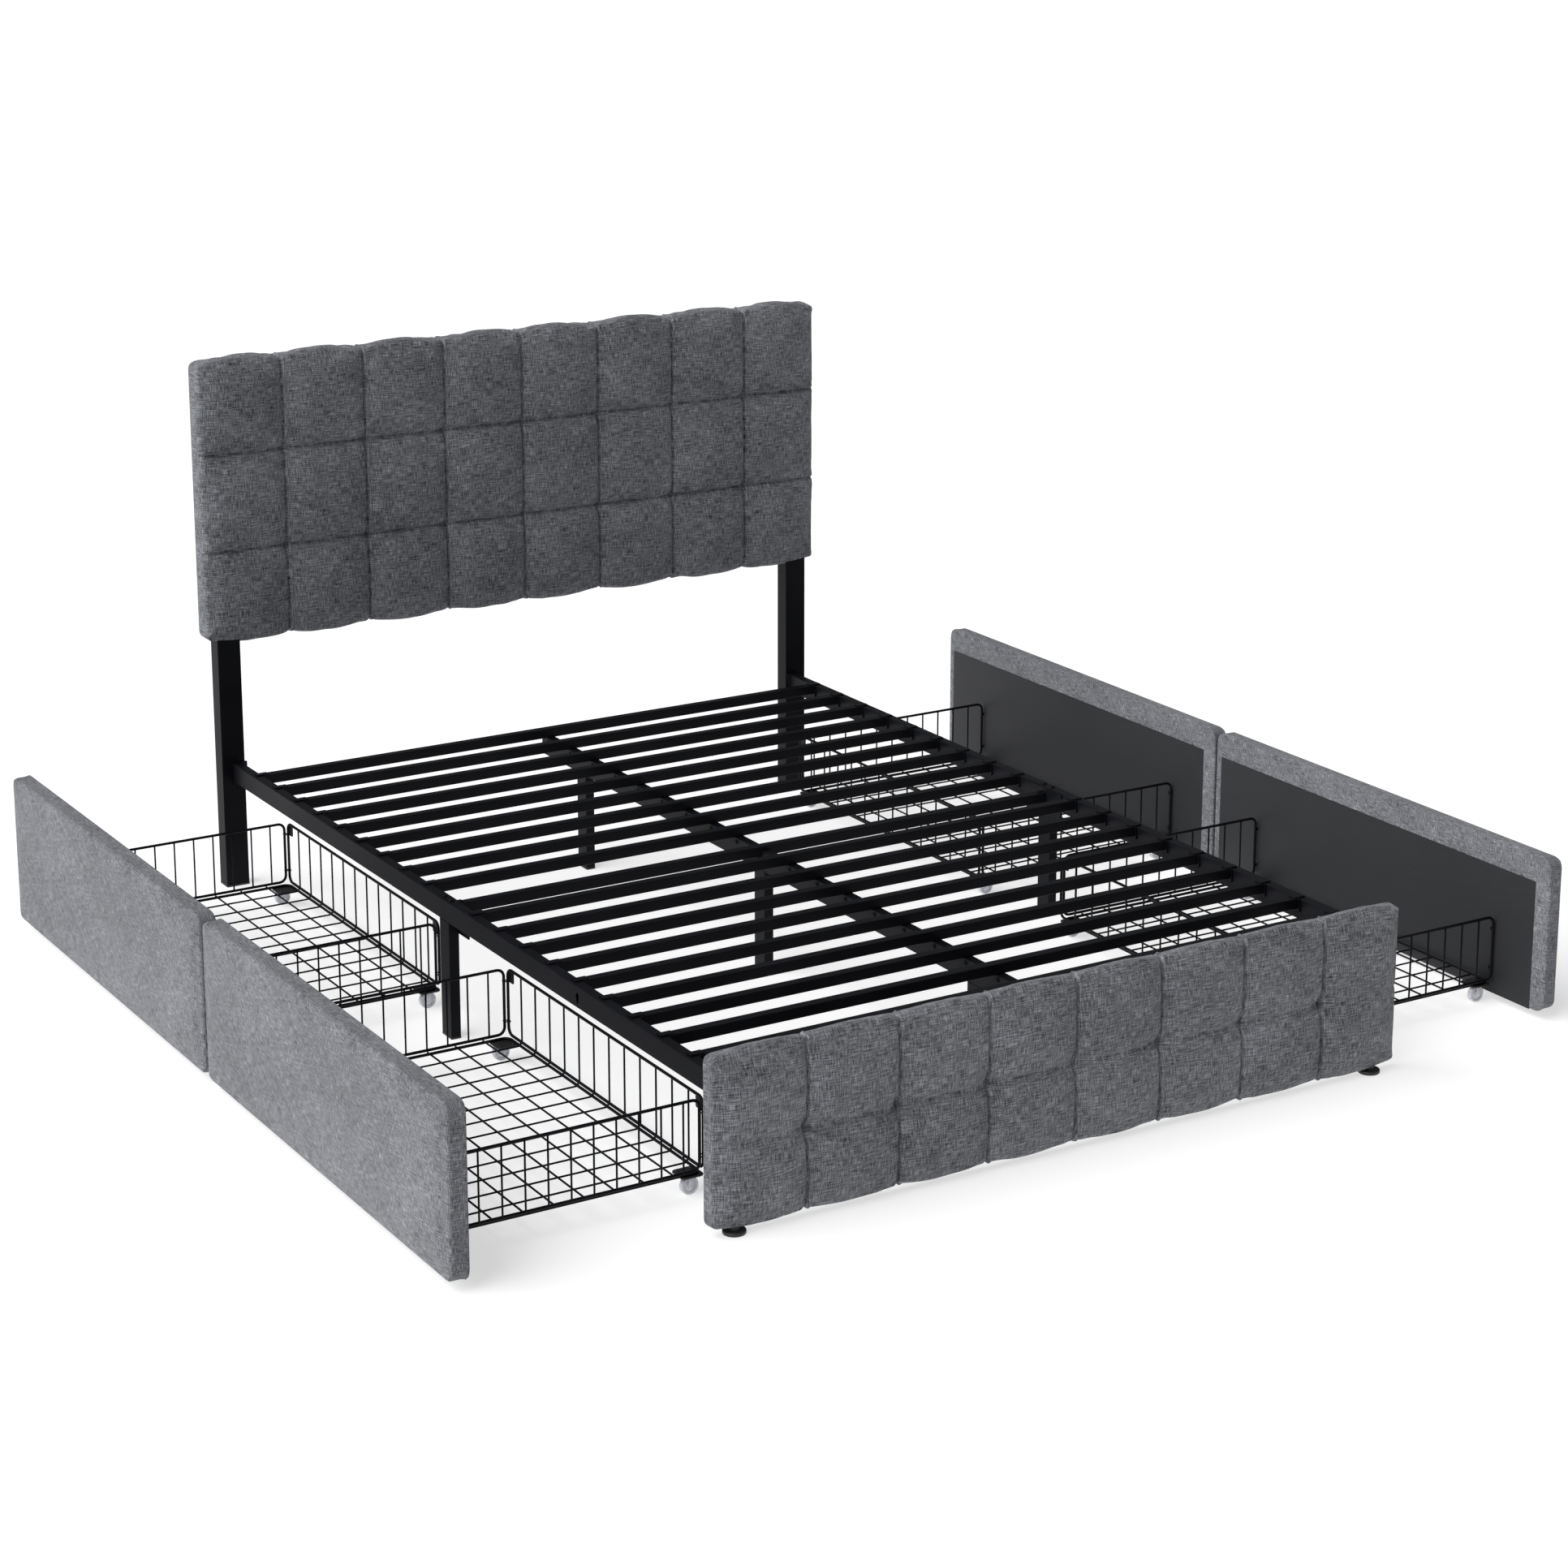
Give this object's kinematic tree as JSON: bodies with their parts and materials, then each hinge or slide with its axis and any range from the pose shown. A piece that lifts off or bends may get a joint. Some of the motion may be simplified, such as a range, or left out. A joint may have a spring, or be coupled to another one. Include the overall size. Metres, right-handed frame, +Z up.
{
  "type": "platform bed with storage drawers",
  "caption": "Metal-framed platform bed with a tufted padded headboard and footboard, and wire-basket drawers with padded fronts that roll out from both sides on small casters.",
  "frame": {"origin": "on the floor, at the middle of the foot of the middle centre leg, which is the middle of the bed frame", "axes": "+X towards the bed's right side seen from the foot, +Y towards the head, +Z up"},
  "size_m": [2.305, 2.093, 1.124],
  "materials": {
    "paint": "satin",
    "fabric": "matte",
    "wheel_plastic": "satin",
    "foot_plastic": "matte"
  },
  "bodies": {
    "bed_frame": {"headboard": "fabric", "footboard": "fabric", "head_post_left": "paint", "foot_glide_left": "foot_plastic", "side_rail_left_head": "paint", "side_rail_left_foot": "paint", "side_leg_left": "paint", "head_post_right": "paint", "foot_glide_right": "foot_plastic", "side_rail_right_head": "paint", "side_rail_right_foot": "paint", "side_leg_right": "paint", "centre_rail_head": "paint", "centre_rail_foot": "paint", "centre_leg_head": "paint", "centre_leg_middle": "paint", "centre_leg_foot": "paint", "middle_bar": "paint", "cross_bar_head_1": "paint", "cross_bar_foot_1": "paint", "cross_bar_head_2": "paint", "cross_bar_foot_2": "paint", "cross_bar_head_3": "paint", "cross_bar_foot_3": "paint", "cross_bar_head_4": "paint", "cross_bar_foot_4": "paint", "cross_bar_head_5": "paint", "cross_bar_foot_5": "paint", "cross_bar_head_6": "paint", "cross_bar_foot_6": "paint", "cross_bar_head_7": "paint", "cross_bar_foot_7": "paint", "cross_bar_head_8": "paint", "cross_bar_foot_8": "paint", "cross_bar_head_9": "paint", "cross_bar_foot_9": "paint"},
    "drawer_left_head": {"drawer_front_left_head": "fabric", "drawer_basket_left_head": "paint"},
    "caster_left_head_inner_head": {"wheel_left_head_inner_head": "wheel_plastic"},
    "caster_left_head_inner_foot": {"wheel_left_head_inner_foot": "wheel_plastic"},
    "caster_left_head_outer_head": {"wheel_left_head_outer_head": "wheel_plastic"},
    "caster_left_head_outer_foot": {"wheel_left_head_outer_foot": "wheel_plastic"},
    "drawer_left_foot": {"drawer_front_left_foot": "fabric", "drawer_basket_left_foot": "paint"},
    "caster_left_foot_inner_head": {"wheel_left_foot_inner_head": "wheel_plastic"},
    "caster_left_foot_inner_foot": {"wheel_left_foot_inner_foot": "wheel_plastic"},
    "caster_left_foot_outer_head": {"wheel_left_foot_outer_head": "wheel_plastic"},
    "caster_left_foot_outer_foot": {"wheel_left_foot_outer_foot": "wheel_plastic"},
    "drawer_right_head": {"drawer_front_right_head": "fabric", "drawer_basket_right_head": "paint"},
    "caster_right_head_inner_head": {"wheel_right_head_inner_head": "wheel_plastic"},
    "caster_right_head_inner_foot": {"wheel_right_head_inner_foot": "wheel_plastic"},
    "caster_right_head_outer_head": {"wheel_right_head_outer_head": "wheel_plastic"},
    "caster_right_head_outer_foot": {"wheel_right_head_outer_foot": "wheel_plastic"},
    "drawer_right_foot": {"drawer_front_right_foot": "fabric", "drawer_basket_right_foot": "paint"},
    "caster_right_foot_inner_head": {"wheel_right_foot_inner_head": "wheel_plastic"},
    "caster_right_foot_inner_foot": {"wheel_right_foot_inner_foot": "wheel_plastic"},
    "caster_right_foot_outer_head": {"wheel_right_foot_outer_head": "wheel_plastic"},
    "caster_right_foot_outer_foot": {"wheel_right_foot_outer_foot": "wheel_plastic"}
  },
  "joints": [
    {"name": "roll_out_left_head", "type": "slide", "parent": "bed_frame", "child": "drawer_left_head", "axis": [-1, 0, 0], "range_m": [-0.437, 0.103]},
    {"name": "spin_left_head_inner_head", "type": "hinge", "parent": "drawer_left_head", "child": "caster_left_head_inner_head", "pos_m": [-0.652, 0.849, 0.016], "axis": [0, 1, 0], "continuous": true},
    {"name": "spin_left_head_inner_foot", "type": "hinge", "parent": "drawer_left_head", "child": "caster_left_head_inner_foot", "pos_m": [-0.652, 0.155, 0.016], "axis": [0, 1, 0], "continuous": true},
    {"name": "spin_left_head_outer_head", "type": "hinge", "parent": "drawer_left_head", "child": "caster_left_head_outer_head", "pos_m": [-1.097, 0.849, 0.016], "axis": [0, 1, 0], "continuous": true},
    {"name": "spin_left_head_outer_foot", "type": "hinge", "parent": "drawer_left_head", "child": "caster_left_head_outer_foot", "pos_m": [-1.097, 0.155, 0.016], "axis": [0, 1, 0], "continuous": true},
    {"name": "roll_out_left_foot", "type": "slide", "parent": "bed_frame", "child": "drawer_left_foot", "axis": [-1, 0, 0], "range_m": [-0.437, 0.103]},
    {"name": "spin_left_foot_inner_head", "type": "hinge", "parent": "drawer_left_foot", "child": "caster_left_foot_inner_head", "pos_m": [-0.652, -0.155, 0.016], "axis": [0, 1, 0], "continuous": true},
    {"name": "spin_left_foot_inner_foot", "type": "hinge", "parent": "drawer_left_foot", "child": "caster_left_foot_inner_foot", "pos_m": [-0.652, -0.849, 0.016], "axis": [0, 1, 0], "continuous": true},
    {"name": "spin_left_foot_outer_head", "type": "hinge", "parent": "drawer_left_foot", "child": "caster_left_foot_outer_head", "pos_m": [-1.097, -0.155, 0.016], "axis": [0, 1, 0], "continuous": true},
    {"name": "spin_left_foot_outer_foot", "type": "hinge", "parent": "drawer_left_foot", "child": "caster_left_foot_outer_foot", "pos_m": [-1.097, -0.849, 0.016], "axis": [0, 1, 0], "continuous": true},
    {"name": "roll_out_right_head", "type": "slide", "parent": "bed_frame", "child": "drawer_right_head", "axis": [1, 0, 0], "range_m": [-0.414, 0.126]},
    {"name": "spin_right_head_inner_head", "type": "hinge", "parent": "drawer_right_head", "child": "caster_right_head_inner_head", "pos_m": [0.629, 0.849, 0.016], "axis": [0, 1, 0], "continuous": true},
    {"name": "spin_right_head_inner_foot", "type": "hinge", "parent": "drawer_right_head", "child": "caster_right_head_inner_foot", "pos_m": [0.629, 0.155, 0.016], "axis": [0, 1, 0], "continuous": true},
    {"name": "spin_right_head_outer_head", "type": "hinge", "parent": "drawer_right_head", "child": "caster_right_head_outer_head", "pos_m": [1.074, 0.849, 0.016], "axis": [0, 1, 0], "continuous": true},
    {"name": "spin_right_head_outer_foot", "type": "hinge", "parent": "drawer_right_head", "child": "caster_right_head_outer_foot", "pos_m": [1.074, 0.155, 0.016], "axis": [0, 1, 0], "continuous": true},
    {"name": "roll_out_right_foot", "type": "slide", "parent": "bed_frame", "child": "drawer_right_foot", "axis": [1, 0, 0], "range_m": [-0.414, 0.126]},
    {"name": "spin_right_foot_inner_head", "type": "hinge", "parent": "drawer_right_foot", "child": "caster_right_foot_inner_head", "pos_m": [0.629, -0.155, 0.016], "axis": [0, 1, 0], "continuous": true},
    {"name": "spin_right_foot_inner_foot", "type": "hinge", "parent": "drawer_right_foot", "child": "caster_right_foot_inner_foot", "pos_m": [0.629, -0.849, 0.016], "axis": [0, 1, 0], "continuous": true},
    {"name": "spin_right_foot_outer_head", "type": "hinge", "parent": "drawer_right_foot", "child": "caster_right_foot_outer_head", "pos_m": [1.074, -0.155, 0.016], "axis": [0, 1, 0], "continuous": true},
    {"name": "spin_right_foot_outer_foot", "type": "hinge", "parent": "drawer_right_foot", "child": "caster_right_foot_outer_foot", "pos_m": [1.074, -0.849, 0.016], "axis": [0, 1, 0], "continuous": true}
  ],
  "couplings": [
    {"joint": "spin_left_head_inner_head", "follows": "roll_out_left_head", "rad_per_m": -62.5},
    {"joint": "spin_left_head_inner_foot", "follows": "roll_out_left_head", "rad_per_m": -62.5},
    {"joint": "spin_left_head_outer_head", "follows": "roll_out_left_head", "rad_per_m": -62.5},
    {"joint": "spin_left_head_outer_foot", "follows": "roll_out_left_head", "rad_per_m": -62.5},
    {"joint": "spin_left_foot_inner_head", "follows": "roll_out_left_foot", "rad_per_m": -62.5},
    {"joint": "spin_left_foot_inner_foot", "follows": "roll_out_left_foot", "rad_per_m": -62.5},
    {"joint": "spin_left_foot_outer_head", "follows": "roll_out_left_foot", "rad_per_m": -62.5},
    {"joint": "spin_left_foot_outer_foot", "follows": "roll_out_left_foot", "rad_per_m": -62.5},
    {"joint": "spin_right_head_inner_head", "follows": "roll_out_right_head", "rad_per_m": 62.5},
    {"joint": "spin_right_head_inner_foot", "follows": "roll_out_right_head", "rad_per_m": 62.5},
    {"joint": "spin_right_head_outer_head", "follows": "roll_out_right_head", "rad_per_m": 62.5},
    {"joint": "spin_right_head_outer_foot", "follows": "roll_out_right_head", "rad_per_m": 62.5},
    {"joint": "spin_right_foot_inner_head", "follows": "roll_out_right_foot", "rad_per_m": 62.5},
    {"joint": "spin_right_foot_inner_foot", "follows": "roll_out_right_foot", "rad_per_m": 62.5},
    {"joint": "spin_right_foot_outer_head", "follows": "roll_out_right_foot", "rad_per_m": 62.5},
    {"joint": "spin_right_foot_outer_foot", "follows": "roll_out_right_foot", "rad_per_m": 62.5}
  ]
}
